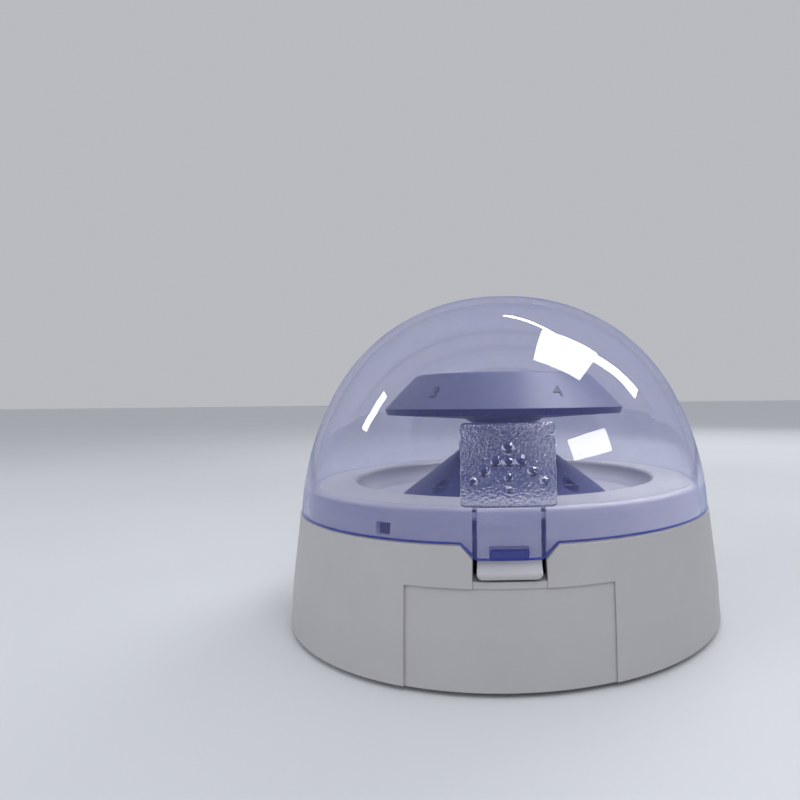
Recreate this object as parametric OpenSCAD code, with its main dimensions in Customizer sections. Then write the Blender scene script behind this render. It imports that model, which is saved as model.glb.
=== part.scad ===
// Small bench centrifuge: a round housing with a chamber, a clear domed lid on a
// rear hinge, a front latch, and a six-place fixed-angle rotor on a small DC motor.
// Millimetres. The front faces -Y, +Z is up, and the feet stand on z = 0.

/* [Housing] */
// Radius of the housing at its bottom edge
base_r = 77.4; // [75:0.1:80]
// Radius of the housing wall at the seam with the lid
seam_r = 74.1; // [73.6:0.1:75]
// Height of the seam above the table
seam_z = 38; // [37.5:0.1:38.5]
// Gap between the table and the housing's bottom edge
foot_gap = 1.5; // [1:0.1:2]
// Wall thickness of the housing
wall = 2.4; // [2:0.1:2.8]
// Radius of the collar that stands inside the lid
collar_r = 70.4; // [70:0.1:70.6]
// Height of the collar's top edge
collar_z = 47.2; // [47:0.1:47.4]

/* [Chamber] */
// Radius of the chamber's mouth
mouth_r = 54.7; // [53:0.1:56]
// Height of the lip around the chamber's mouth
mouth_z = 47.8; // [47.7:0.1:48.2]
// Height of the chamber floor
floor_z = 37; // [36.5:0.1:37.5]
// Radius of the cowl's top
cowl_top_r = 11.5; // [11:0.1:12]
// Height of the cowl's top
cowl_top_z = 61.5; // [61:0.1:61.7]
// Radius of the cowl where it meets the chamber floor
cowl_foot_r = 43.7; // [43:0.1:44]

/* [Rotor] */
// Largest radius of the rotor
rotor_r = 44.8; // [44.5:0.1:46]
// Radius of the rotor's top rim
rotor_top_r = 33.4; // [33:0.1:34]
// Height of the rotor's widest edge
rotor_edge_z = 72.9; // [72.5:0.1:73.2]
// Height of the rotor's top rim
rotor_top_z = 85; // [84.5:0.1:86]
// Number of tube wells
well_count = 6; // [4:1:6]
// Radius of a tube well
well_r = 5.6; // [5.2:0.1:5.6]
// Angle of the tube wells from upright
well_angle = 45; // [44:1:46]

/* [Lid] */
// Largest radius of the lid
lid_r = 73.8; // [73.6:0.1:73.9]
// Wall thickness of the lid
lid_t = 2.3; // [2:0.1:2.4]
// Radius of the arc that forms the lid's side
side_arc = 96; // [94:1:98]
// Radius of the arc that forms the lid's shoulder
shoulder_arc = 66; // [64:1:68]
// Width of the thumb grip on the lid
grip_w = 25.5; // [22:0.5:28]

/* [Latch] */
// Width of the latch tab
tab_w = 17; // [16.4:0.1:17.2]
// Width of the slot on each side of the latch tab
slot_w = 1.2; // [1.1:0.1:1.4]
// Height of the lower edge of the latch tab
tab_z = 29.8; // [29.5:0.1:30.2]

/* [Hidden] */

$fn = 96;
eps = 0.01;
grey = [0.66, 0.66, 0.68];
navy = [0.13, 0.14, 0.20];
clear_blue = [0.62, 0.66, 0.82, 0.45];
steel = [0.72, 0.73, 0.75];
black = [0.09, 0.09, 0.10];
brass = [0.80, 0.66, 0.36];

// Hinge at the back: the pin's axis runs along X
hinge_y = 80;
hinge_z = 39.5;
knuckle_r = 3.8;
knuckle_w = 25.4;
ear_w = 7;
ear_gap = 0.4;
pin_r = 1.5;
run_fit = 0.06;
rear_reach = hinge_y + knuckle_r;
arm_screw_x = 8;
arm_screw_z = 46;
arm_seat_y = 74.7;
panel_step = 0.5;
// The rotor's axis lies in front of the origin, so that the whole part is centred on it
axis_y = -(rear_reach - (base_r - panel_step)) / 2;

// Housing wall: a steeper taper above the knee than below it
knee_z = 14.5;
knee_r = base_r - 0.7;
ledge_t = 2.4;
rebate_r = collar_r - 2.6;
rebate_z = collar_z - 1.6;
rebate_in = rebate_r - 2.4;
collar_fillet = 1.7;
collar_draft = 0.8;

// Front opening for the latch, and the notch that the lid's flap lies in
gap_half = tab_w / 2 + slot_w;
flap_top = 13.1;
flap_low = 8.8;
flap_z = 34.2;
flap_gap = 0.4;
catch_half = 4.9;
catch_z = [flap_z, flap_z + 2.3];
backing_r = collar_r - 2.4;
panel_half = 28;
panel_z = 27.3;
channel_step = 0.25;
tab_gap = 0.7;
bar_r = 1.1;
bar_y = -67;
bar_z = 44.6;
bar_half = 11.2;
boss_x = 11.6;
boss_half = 2;

// Flat recess at the back for the switch and the power socket
recess_half = 25;
recess_y = 70.5;
recess_low = 7;
recess_high = 30;
switch_x = -12;
switch_z = 18.5;
switch_hole = [12.8, 18.6];
jack_x = 12;
jack_r = 4;

// Bottom plate
plate_z = foot_gap + 0.4;
plate_t = 2.5;
plate_top = plate_z + plate_t;
plate_r = base_r - wall - 0.3;
post_at = 67;
foot_at = 58;

// Lid arcs, from the rim to the crown
side_z = 33.5;
side_turn = 29.3;
crown_turn = 79.8;
lid_gap = 0.3;
rim_z = seam_z + lid_gap;
side_c = [lid_r - side_arc, side_z];
turn_1 = side_c + side_arc * [cos(side_turn), sin(side_turn)];
shoulder_c = turn_1 - shoulder_arc * [cos(side_turn), sin(side_turn)];
turn_2 = shoulder_c + shoulder_arc * [cos(crown_turn), sin(crown_turn)];
crown_arc = turn_2[0] / cos(crown_turn);
crown_c = [0, turn_2[1] - crown_arc * sin(crown_turn)];
grip_low = 48;
grip_high = 69.7;
grip_t = 1.4;

// Motor and its mounting
motor_r = 14;
motor_low = 15;
motor_top = 46;
shaft_r = 1.5;
bracket_t = 1.5;
bracket_r = 25;
damper_at = 20.5;
tower_r = 26;
tower_z = 43;
tower_hole = 16;

// Rotor
band_r = rotor_r - 0.8;
band_z = 70.6;
belly_r = 17;
belly_z = 68.8;
hub_r = 12.5;
hub_z = 62.3;
dish_r = 31;
dish_in = 8.5;
dish_z = 74.5;
well_at = 21;
well_mouth_z = dish_z + (rotor_top_z - dish_z) * (well_at - dish_in) / (dish_r - dish_in);

// Circuit board
board_low = [-30, 22];
board_size = [60, 32];
board_z = 8.6;
board_t = 1.6;
sensor_turn = -29.4;

// Points of an arc about c, from angle a to angle b
function arc(c, r, a, b, n = 12) =
    [for (i = [0:n]) let (t = a + (b - a) * i / n) c + r * [cos(t), sin(t)]];

// The lid's outline, moved inwards by t, from height z up to the crown
function lid_outline(t, z) = concat(
    arc(side_c, side_arc - t, asin((z - side_z) / (side_arc - t)), side_turn, 12),
    arc(shoulder_c, shoulder_arc - t, side_turn + 3, crown_turn, 16),
    arc(crown_c, crown_arc - t, crown_turn + 2.5, 90, 4));

// Moves a sub-part from the rotor's axis to its place in the frame
module place() {
    translate([0, axis_y, 0]) children();
}

// n copies around the rotor's axis, at radius r
module around(n, r, start = 0) {
    for (i = [0:n - 1]) rotate(start + 360 * i / n) translate([r, 0, 0]) children();
}

// Cylinder along Y from y0 to y1
module along_y(r, y0, y1) {
    translate([0, y0, 0]) rotate([-90, 0, 0]) cylinder(h = y1 - y0, r = r);
}

// Cylinder along X, centred
module along_x(r, length) {
    rotate([0, 90, 0]) cylinder(h = length, r = r, center = true);
}

// Block given by two opposite corners
module block(low, high) {
    translate(low) cube(high - low);
}

// Plate in the XZ plane with rounded corners, from y0 to y1
module rounded_front(w, h, r, y0, y1) {
    for (sx = [-1, 1]) for (sz = [-1, 1])
        translate([sx * (w / 2 - r), 0, sz * (h / 2 - r)]) along_y(r, y0, y1);
    block([-w / 2 + r, y0, -h / 2], [w / 2 - r, y1, h / 2]);
    block([-w / 2, y0, -h / 2 + r], [w / 2, y1, h / 2 - r]);
}

// Pan-head screw with its head's underside at z = 0, pointing down
module pan_screw(head_r, head_h, shank_r, length) {
    difference() {
        cylinder(h = head_h, r1 = head_r, r2 = head_r * 0.8, $fn = 32);
        for (turn = [0, 90]) rotate(turn)
            block([-head_r * 0.6, -0.3, head_h * 0.5], [head_r * 0.6, 0.3, head_h + 1]);
    }
    translate([0, 0, -length]) cylinder(h = length, r = shank_r, $fn = 32);
}

// A wire of radius r along a cubic curve with control points p
function bend(p, t) = pow(1 - t, 3) * p[0] + 3 * t * pow(1 - t, 2) * p[1]
    + 3 * t * t * (1 - t) * p[2] + t * t * t * p[3];
function slope(p, t) = 3 * pow(1 - t, 2) * (p[1] - p[0]) + 6 * t * (1 - t) * (p[2] - p[1])
    + 3 * t * t * (p[3] - p[2]);
module wire(p, r, side = [1, 0.2, 0], steps = 14, sides = 8) {
    rings = [for (i = [0:steps]) let (
        t = i / steps,
        along = slope(p, t) / norm(slope(p, t)),
        u = cross(along, side) / norm(cross(along, side)),
        v = cross(u, along))
        [for (k = [0:sides - 1]) bend(p, t) + r * (cos(360 * k / sides) * u
            + sin(360 * k / sides) * v)]];
    points = [for (ring = rings) for (q = ring) q];
    last = steps * sides;
    faces = concat(
        [[for (k = [0:sides - 1]) k]],
        [for (i = [0:steps - 1]) for (k = [0:sides - 1])
            [i * sides + k, (i + 1) * sides + k,
             (i + 1) * sides + (k + 1) % sides, i * sides + (k + 1) % sides]],
        [[for (k = [sides - 1:-1:0]) last + k]]);
    polyhedron(points = points, faces = faces);
}

// ---- Housing -------------------------------------------------------------

module housing_ring() {
    rotate_extrude($fn = 180) polygon(concat(
        [[base_r, foot_gap], [knee_r, knee_z], [seam_r, seam_z], [collar_r, seam_z],
         [collar_r - collar_draft, collar_z - collar_fillet]],
        arc([collar_r - collar_draft - collar_fillet, collar_z - collar_fillet],
            collar_fillet, 15, 90, 5),
        [[rebate_r, collar_z], [rebate_r, rebate_z], [rebate_in, rebate_z],
         [rebate_in, rebate_z - 1.8], [backing_r - 0.8, rebate_z - 1.8],
         [backing_r, seam_z - ledge_t], [seam_r - wall, seam_z - ledge_t],
         [knee_r - wall, knee_z], [base_r - wall, foot_gap]]));
}

// Solid inside of the housing wall, moved inwards by t
module housing_solid(t) {
    rotate_extrude($fn = 180) polygon(
        [[0, foot_gap - 1], [base_r - t, foot_gap - 1], [base_r - t, foot_gap],
         [knee_r - t, knee_z], [seam_r - t, seam_z], [0, seam_z]]);
}

// Shape of the lid's flap in the XZ plane, grown by g
module flap_shape(g, top) {
    rotate([90, 0, 0]) linear_extrude(height = 90) polygon(
        [[-flap_low - g, flap_z - g], [flap_low + g, flap_z - g],
         [flap_top + g, rim_z + g], [flap_top + g, top],
         [-flap_top - g, top], [-flap_top - g, rim_z + g]]);
}

module latch_bosses() {
    intersection() {
        for (s = [-1, 1])
            block([s * boss_x - boss_half, -collar_r, 41.6],
                [s * boss_x + boss_half, -64.6, rebate_z]);
        cylinder(h = 60, r = collar_r - collar_draft - 0.2, $fn = 180);
    }
}

module hinge_ears() {
    for (s = [-1, 1]) translate([s * (knuckle_w / 2 + ear_gap + ear_w / 2), 0, 0]) {
        translate([0, hinge_y, hinge_z]) along_x(knuckle_r, ear_w);
        translate([-ear_w / 2, 0, 0]) rotate([90, 0, 90]) linear_extrude(height = ear_w)
            polygon([[seam_r - 3, recess_high], [hinge_y, hinge_z - 5],
                [hinge_y + knuckle_r, hinge_z - 3], [hinge_y + knuckle_r, hinge_z],
                [hinge_y - knuckle_r, hinge_z], [hinge_y - knuckle_r, seam_z],
                [seam_r - 3, seam_z]]);
    }
}

module rear_recess() {
    block([-recess_half, recess_y, recess_low], [recess_half, base_r + 2, recess_high]);
}

module housing() {
    color(grey) difference() {
        union() {
            housing_ring();
            // wall behind the lid's flap
            intersection() {
                block([-16.5, -base_r, panel_z - 2], [16.5, -60, seam_z]);
                housing_solid(0.8);
                difference() {
                    cylinder(h = 60, r = base_r, $fn = 180);
                    translate([0, 0, -1]) cylinder(h = 62, r = backing_r, $fn = 180);
                }
            }
            latch_bosses();
            // back of the recess for the switch and socket
            intersection() {
                block([-recess_half - 2.4, recess_y - 2.5, recess_low - 2.4],
                    [recess_half + 2.4, base_r, recess_high + 2.4]);
                housing_solid(0.8);
            }
            hinge_ears();
            // screw posts for the bottom plate
            around(4, post_at, 45) translate([0, 0, plate_top])
                cylinder(h = 12, r = 4, $fn = 32);
            around(4, post_at, 45) block([0, -1, plate_top], [7.6, 1, plate_top + 10]);
        }
        // notch for the lid's flap, and the opening for the latch tab
        intersection() {
            flap_shape(flap_gap, seam_z + 1);
            difference() {
                cylinder(h = 60, r = base_r + 2, $fn = 180);
                translate([0, 0, -1]) cylinder(h = 62, r = collar_r - 0.1, $fn = 180);
            }
        }
        block([-gap_half, -base_r - 2, tab_z - tab_gap],
            [gap_half, -backing_r + 4.5, collar_z + 1]);
        translate([0, bar_y, bar_z]) along_x(bar_r + run_fit, 2 * bar_half + 0.8);
        // shallow front panel and the channel that joins it to the latch
        difference() {
            block([-panel_half, -base_r - 2, foot_gap - 2], [panel_half, -50, panel_z]);
            housing_solid(panel_step);
        }
        difference() {
            block([-gap_half, -base_r - 2, panel_z - 1], [gap_half, -50, tab_z]);
            housing_solid(channel_step);
        }
        // window of the lid sensor
        rotate(sensor_turn) block([-2.45, -collar_r - 1, 38.7], [2.45, -60, 42.2]);
        // back recess, switch hole and socket hole
        rear_recess();
        translate([switch_x, 0, switch_z])
            block([-switch_hole[0] / 2, 60, -switch_hole[1] / 2],
                [switch_hole[0] / 2, 75, switch_hole[1] / 2]);
        translate([jack_x, 0, switch_z]) along_y(jack_r, 60, 75);
        // hinge pin and the plate's screws
        translate([0, hinge_y, hinge_z]) along_x(pin_r, 60);
        around(4, post_at, 45) translate([0, 0, plate_top - 1]) cylinder(h = 10, r = 1.3, $fn = 32);
    }
}

// ---- Chamber -------------------------------------------------------------

module chamber_liner() {
    lip = 1.5;
    lip_c = [mouth_r + lip, mouth_z - lip];
    color(grey) difference() {
        rotate_extrude($fn = 180) polygon(concat(
            [[rebate_r - 0.1, rebate_z + eps], [rebate_r - 0.1, collar_z + 0.1]],
            arc(lip_c, lip, 82, 180, 8),
            [[mouth_r - 0.6, floor_z + 7], [mouth_r - 1.8, floor_z + 3],
             [mouth_r - 5, floor_z], [tower_r, floor_z], [tower_r, tower_z],
             [tower_hole, tower_z], [tower_hole, tower_z - 2], [tower_r - 2, tower_z - 2],
             [tower_r - 2, floor_z - 2], [mouth_r - 4, floor_z - 2],
             [mouth_r, floor_z + 2], [mouth_r + 1.6, collar_z - 1.6]]));
        // room under the flange for the latch's bar
        block([-boss_x - boss_half, -base_r, rebate_z - 1],
            [boss_x + boss_half, bar_y + bar_r + 0.4, collar_z - 0.8]);
        around(3, damper_at) translate([0, 0, tower_z - 4]) cylinder(h = 8, r = 1.5, $fn = 32);
        around(4, 31, 45) translate([0, 0, floor_z - 4]) cylinder(h = 8, r = 1.2, $fn = 32);
    }
}

module motor_cowl() {
    cone_h = cowl_top_z - floor_z;
    skin = 2;
    color(navy) difference() {
        union() {
            rotate_extrude($fn = 180) polygon(
                [[cowl_foot_r, floor_z + eps], [cowl_top_r, cowl_top_z], [4, cowl_top_z],
                 [4, cowl_top_z - skin], [cowl_top_r - 1, cowl_top_z - skin],
                 [cowl_foot_r - 3.4, floor_z + eps]]);
            around(4, 31, 45) translate([0, 0, floor_z + eps])
                cylinder(h = cone_h * 0.38, r = 3.4, $fn = 32);
        }
        around(4, 31, 45) {
            translate([0, 0, floor_z - 1]) cylinder(h = 20, r = 1.3, $fn = 32);
            translate([0, 0, 44.5]) cylinder(h = 10, r = 2.5, $fn = 32);
        }
    }
}

module cowl_screws() {
    color(steel) around(4, 31, 45) translate([0, 0, 44.5]) pan_screw(2.2, 1.5, 1.2, 9);
}

// ---- Bottom --------------------------------------------------------------

module base_plate() {
    color(grey) difference() {
        union() {
            translate([0, 0, plate_z]) cylinder(h = plate_t, r = plate_r, $fn = 180);
            for (x = [0, 1]) for (y = [0, 1])
                translate([board_low[0] + 4 + x * (board_size[0] - 8),
                    board_low[1] + 4 + y * (board_size[1] - 8), plate_top])
                    cylinder(h = board_z - plate_top, r = 3, $fn = 32);
        }
        around(4, post_at, 45) {
            translate([0, 0, plate_z - 1]) cylinder(h = 5, r = 1.7, $fn = 32);
            translate([0, 0, plate_z - 1]) cylinder(h = 2, r = 3.2, $fn = 32);
        }
        around(4, foot_at, 0) translate([0, 0, plate_z - 1]) cylinder(h = 1.8, r = 6.5, $fn = 64);
        for (i = [-4:4]) block([-34, i * 5 - 1, plate_z - 1], [-14, i * 5 + 1, plate_top + 1]);
        for (x = [0, 1]) for (y = [0, 1])
            translate([board_low[0] + 4 + x * (board_size[0] - 8),
                board_low[1] + 4 + y * (board_size[1] - 8), plate_top + 0.5])
                cylinder(h = 8, r = 1.1, $fn = 32);
    }
}

module rubber_feet() {
    color(black) around(4, foot_at, 0) rotate_extrude($fn = 64) polygon(
        [[0, 0], [5.4, 0], [6.2, 0.8], [6.4, plate_z + 0.8], [0, plate_z + 0.8]]);
}

module plate_screws() {
    color(steel) around(4, post_at, 45) translate([0, 0, plate_z + 1])
        rotate([180, 0, 0]) pan_screw(2.9, 1, 1.3, 8);
}

// ---- Motor ---------------------------------------------------------------

module motor_can() {
    color(steel) difference() {
        translate([0, 0, motor_low]) cylinder(h = motor_top - motor_low, r = motor_r);
        translate([0, 0, motor_low - 1])
            cylinder(h = motor_top - motor_low - 0.5, r = motor_r - 1.2);
        translate([0, 0, motor_top - 3]) cylinder(h = 6, r = 4);
        around(2, 8) translate([0, 0, motor_top - 3]) cylinder(h = 6, r = 1.25, $fn = 32);
    }
}

module motor_magnets() {
    color([0.25, 0.25, 0.27]) for (turn = [0, 180]) rotate(turn + 20)
        rotate_extrude(angle = 140) translate([11.2, motor_low + 6])
            square([1.5, 19]);
}

module motor_bearings() {
    color(brass) for (z = [motor_low - 2, motor_top - 1.5]) translate([0, 0, z]) difference() {
        cylinder(h = 4, r = 4);
        translate([0, 0, -1]) cylinder(h = 6, r = shaft_r + run_fit);
    }
}

module motor_end_cap() {
    color(black) difference() {
        union() {
            translate([0, 0, motor_low - 2]) cylinder(h = 2, r = motor_r - 0.6);
            translate([0, 0, motor_low]) cylinder(h = 2.5, r = motor_r - 1.3);
            translate([0, 0, motor_low - 3.2]) cylinder(h = 1.2, r = 5.5);
        }
        translate([0, 0, motor_low - 2]) cylinder(h = 6, r = 4);
    }
    color(brass) for (s = [-1, 1])
        block([s * 9 - 1.4, -0.3, motor_low - 6.5], [s * 9 + 1.4, 0.3, motor_low - 2]);
}

module motor_bracket() {
    color(steel) difference() {
        translate([0, 0, motor_top]) cylinder(h = bracket_t, r = bracket_r);
        translate([0, 0, motor_top - 1]) cylinder(h = 4, r = 4);
        around(2, 8) translate([0, 0, motor_top - 1]) cylinder(h = 4, r = 1.4, $fn = 32);
        around(3, damper_at) translate([0, 0, motor_top - 1]) cylinder(h = 4, r = 1.7, $fn = 32);
        around(3, 17, 60) translate([0, 0, motor_top - 1]) cylinder(h = 4, r = 4, $fn = 48);
    }
}

module motor_dampers() {
    color(black) around(3, damper_at) difference() {
        rotate_extrude($fn = 48) polygon(
            [[0, tower_z], [3.3, tower_z], [3.3, tower_z + 0.8], [2.6, tower_z + 1.5],
             [3.3, tower_z + 2.2], [3.3, motor_top], [0, motor_top]]);
        translate([0, 0, tower_z - 1]) cylinder(h = 6, r = 1.6, $fn = 32);
    }
}

module bracket_screws() {
    color(steel) around(3, damper_at) translate([0, 0, motor_top + bracket_t])
        pan_screw(2.8, 1.6, 1.5, 8);
}

module motor_screws() {
    color(steel) around(2, 8) translate([0, 0, motor_top + bracket_t])
        pan_screw(2.1, 1.4, 1.25, 4);
}

module motor_armature() {
    color([0.55, 0.36, 0.22]) difference() {
        union() {
            translate([0, 0, motor_low + 7]) cylinder(h = 15, r = 10.4);
            translate([0, 0, motor_low + 3.2]) cylinder(h = 3.8, r = 3.2);
        }
        around(5, 9.6) translate([0, 0, motor_low + 6.5]) cylinder(h = 16, r = 2.2, $fn = 32);
        translate([0, 0, motor_low]) cylinder(h = 30, r = shaft_r);
    }
}

module motor_shaft() {
    color(steel) translate([0, 0, motor_low - 1.6]) cylinder(h = 58.6, r = shaft_r);
}

// ---- Rotor ---------------------------------------------------------------

module tube_wells() {
    around(well_count, well_at, 90 + 180 / well_count)
        translate([0, 0, well_mouth_z]) rotate([0, 180 - well_angle, 0]) {
            translate([0, 0, -20]) cylinder(h = 50, r = well_r);
            translate([0, 0, -20]) cylinder(h = 20.6, r = well_r + 1.4);
        }
}

module rotor() {
    color(navy) difference() {
        rotate_extrude($fn = 180) polygon(
            [[5, hub_z], [hub_r, hub_z], [hub_r, belly_z - 1.6], [belly_r - 2.4, belly_z - 0.3],
             [belly_r, belly_z], [band_r, band_z], [rotor_r, rotor_edge_z],
             [rotor_top_r + 0.5, rotor_top_z - 0.6], [rotor_top_r - 0.3, rotor_top_z],
             [dish_r, rotor_top_z], [dish_in, dish_z], [5, dish_z]]);
        tube_wells();
    }
}

module rotor_insert() {
    color(brass) difference() {
        union() {
            translate([0, 0, hub_z]) cylinder(h = dish_z - hub_z, r = 5);
            translate([0, 0, dish_z]) cylinder(h = 6, r = 2.5);
        }
        translate([0, 0, hub_z - 1]) cylinder(h = 10.7, r = shaft_r);
    }
}

module rotor_nut() {
    color(navy) difference() {
        rotate_extrude() polygon(
            [[0, dish_z], [6.6, dish_z], [7, dish_z + 0.6], [7, dish_z + 6],
             [6, dish_z + 7.6], [3, dish_z + 8.2], [0, dish_z + 8.2]]);
        translate([0, 0, dish_z - 1]) cylinder(h = 7, r = 2.5);
        around(18, 7.5) translate([0, 0, dish_z - 1]) cylinder(h = 12, r = 0.8, $fn = 16);
    }
}

// ---- Lid -----------------------------------------------------------------

module lid_solid(t, z) {
    rotate_extrude($fn = 180) polygon(concat([[0, z]], lid_outline(t, z)));
}

module lid_dome() {
    color(clear_blue) difference() {
        union() {
            lid_solid(0, rim_z);
            // flap that reaches down over the latch
            intersection() {
                lid_solid(0, flap_z);
                flap_shape(0, rim_z + 2);
            }
            // raised thumb grip
            intersection() {
                lid_solid(-grip_t, grip_low - 1);
                union() {
                    block([-grip_w / 2, -90, grip_low], [grip_w / 2, -40, grip_high - 1.3]);
                    block([-grip_w / 2 + 1.3, -90, grip_low], [grip_w / 2 - 1.3, -40, grip_high]);
                    for (s = [-1, 1]) translate([s * (grip_w / 2 - 1.3), 0, grip_high - 1.3])
                        along_y(1.3, -90, -40);
                }
            }
        }
        difference() {
            lid_solid(lid_t, flap_z - 1);
            // catch on the inside of the flap
            intersection() {
                block([-catch_half, -90, catch_z[0]], [catch_half, -40, catch_z[1]]);
                difference() {
                    cylinder(h = 60, r = lid_r, $fn = 180);
                    translate([0, 0, -1]) cylinder(h = 62, r = lid_r - lid_t - 1.1, $fn = 180);
                }
            }
        }
        for (s = [-1, 1]) translate([s * arm_screw_x, 0, arm_screw_z]) along_y(1.3, 60, 90);
    }
}

module lid_arm() {
    color(grey) difference() {
        union() {
            intersection() {
                difference() {
                    lid_solid(-2.6, seam_z + 1);
                    lid_solid(0, seam_z - 1);
                }
                block([-knuckle_w / 2, 50, seam_z + 2], [knuckle_w / 2, 90, 51]);
            }
            difference() {
                union() {
                    translate([0, hinge_y, hinge_z]) along_x(knuckle_r, knuckle_w);
                    block([-knuckle_w / 2, 69, seam_z + 2],
                        [knuckle_w / 2, hinge_y, hinge_z + knuckle_r]);
                }
                lid_solid(0, seam_z - 4);
            }
        }
        translate([0, hinge_y, hinge_z]) along_x(pin_r + run_fit, knuckle_w + 2);
        for (s = [-1, 1]) translate([s * arm_screw_x, 0, arm_screw_z]) {
            along_y(1.3, 60, 90);
            along_y(2.6, arm_seat_y, 90);
        }
    }
}

module lid_screws() {
    color(steel) for (s = [-1, 1]) translate([s * arm_screw_x, arm_seat_y, arm_screw_z])
        rotate([-90, 0, 0]) pan_screw(2.4, 1.3, 1.3, 4.1);
}

module hinge_pin() {
    color(steel) translate([0, hinge_y, hinge_z])
        along_x(pin_r, knuckle_w + 2 * ear_gap + 2 * ear_w);
}

// ---- Latch ---------------------------------------------------------------

// The tab's side view: a strip up to the collar's rounded top, and the press ledge
module latch_profile() {
    face_y = -69.2;
    back_y = face_y + 1.7;
    ledge_z = 34;
    polygon([[face_y, ledge_z + 0.3], [-71.4, ledge_z - 0.2], [-75.3, 31.2], [-75.5, 30.6],
        [-75.3, tab_z], [back_y, tab_z], [back_y, collar_z - 1], [back_y - 0.4, collar_z - 0.9],
        [back_y - 0.4, collar_z - 0.2], [face_y + 0.6, collar_z - 0.4],
        [face_y + 0.1, collar_z - 1.1], [face_y, collar_z - 1.8]]);
}

module latch_tab() {
    corner = 1.6;
    color(grey) difference() {
        union() {
            translate([0, bar_y, bar_z]) along_x(bar_r, 2 * bar_half);
            intersection() {
                translate([-tab_w / 2, 0, 0]) rotate([90, 0, 90])
                    linear_extrude(height = tab_w) latch_profile();
                union() {
                    block([-tab_w / 2, -80, tab_z + corner], [tab_w / 2, -60, 60]);
                    block([-tab_w / 2 + corner, -80, tab_z],
                        [tab_w / 2 - corner, -60, tab_z + corner + 1]);
                    for (s = [-1, 1]) translate([s * (tab_w / 2 - corner), 0, tab_z + corner])
                        along_y(corner, -80, -60);
                }
            }
        }
        // pocket that the lid's catch drops into
        block([-catch_half - 0.3, -72, catch_z[0] + 0.3], [catch_half + 0.3, -68.2, catch_z[1] + 0.4]);
    }
}

// ---- Electrical ----------------------------------------------------------

module switch_frame() {
    color(black) translate([switch_x, 0, switch_z]) difference() {
        union() {
            rounded_front(14.4, 20.4, 1, recess_y, recess_y + 1.4);
            block([-6.3, recess_y - 13, -9.2], [6.3, recess_y, 9.2]);
        }
        block([-5.4, recess_y - 8.5, -8.3], [5.4, recess_y + 3, 8.3]);
        translate([0, recess_y - 2.5, 0]) along_x(0.8, 30);
    }
}

module switch_rocker() {
    color([0.16, 0.16, 0.17]) translate([switch_x, recess_y - 2.5, switch_z]) {
        rotate([10, 0, 0]) translate([-5, 0, 0]) rotate([90, 0, 90])
            linear_extrude(height = 10) polygon(
                [[-3, -7], [2.6, -7.5], [3.6, -7.2], [4.0, -3], [3.2, 0], [4.0, 3],
                 [3.6, 7.2], [2.6, 7.5], [-3, 7]]);
        along_x(0.74, 12.4);
    }
}

module switch_terminals() {
    color(brass) translate([switch_x, 0, switch_z]) for (z = [-5, 5])
        block([-2.4, recess_y - 20, z - 0.4], [2.4, recess_y - 13, z + 0.4]);
}

module dc_jack() {
    color(black) translate([jack_x, 0, switch_z]) {
        difference() {
            union() {
                along_y(jack_r, recess_y - 2.5, recess_y + 3);
                along_y(5.6, recess_y - 13, recess_y - 2.5);
            }
            along_y(2.8, recess_y - 7, recess_y + 4);
        }
        along_y(1, recess_y - 8, recess_y + 1.5);
        for (s = [-1, 1]) block([s * 3 - 0.8, recess_y - 17, -0.3], [s * 3 + 0.8, recess_y - 13, 0.3]);
    }
}

module dc_jack_nut() {
    color(steel) translate([jack_x, 0, switch_z]) difference() {
        translate([0, recess_y, 0]) rotate([-90, 0, 0]) cylinder(h = 2, r = 6, $fn = 6);
        along_y(jack_r, recess_y - 1, recess_y + 5);
    }
}

module circuit_board() {
    color([0.10, 0.36, 0.20]) difference() {
        translate([board_low[0], board_low[1], board_z]) cube([board_size[0], board_size[1], board_t]);
        for (x = [0, 1]) for (y = [0, 1])
            translate([board_low[0] + 4 + x * (board_size[0] - 8),
                board_low[1] + 4 + y * (board_size[1] - 8), board_z - 1])
                cylinder(h = 4, r = 1.5, $fn = 32);
    }
}

module board_screws() {
    color(steel) for (x = [0, 1]) for (y = [0, 1])
        translate([board_low[0] + 4 + x * (board_size[0] - 8),
            board_low[1] + 4 + y * (board_size[1] - 8), board_z + board_t])
            pan_screw(2.3, 1.3, 1.1, 4);
}

module board_capacitors() {
    color([0.12, 0.14, 0.30]) for (c = [[-16, 42, 4, 10], [-7, 41, 3.2, 8], [20, 29, 3.2, 8]])
        translate([c[0], c[1], board_z + board_t]) cylinder(h = c[3], r = c[2]);
}

module board_heat_sink() {
    color(steel) translate([4, 34, board_z + board_t]) {
        block([-6, -2, 0], [6, -0.8, 14]);
        for (i = [0:4]) block([-6 + i * 2.7, -0.8, 0], [-5 + i * 2.7, 4, 14]);
    }
    color(black) block([-1, 29.4, board_z + board_t], [9, 32, board_z + board_t + 9]);
}

module board_header() {
    color([0.9, 0.9, 0.86]) for (x = [-24, 22]) difference() {
        block([x - 4, 34, board_z + board_t], [x + 4, 40, board_z + board_t + 6]);
        block([x - 3.2, 34.8, board_z + board_t + 2], [x + 3.2, 39.2, board_z + board_t + 7]);
    }
}

module lid_sensor() {
    color(black) rotate(sensor_turn) {
        block([-4, -66.6, 37.6], [4, -61.5, 42.6]);
        block([-2.2, -68.6, 38.9], [2.2, -66.6, 42]);
    }
}

module motor_wires() {
    end_z = 12.4;
    color("firebrick") wire([[-9, 0.4, 10], [-9, 9, 7], [-23.9, 37, 36], [-23.9, 37, end_z]], 0.7);
    color(black) wire([[9, 0.4, 10], [9, 22, 5.5], [-22, 37, 36], [-22, 37, end_z]], 0.7);
}

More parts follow.
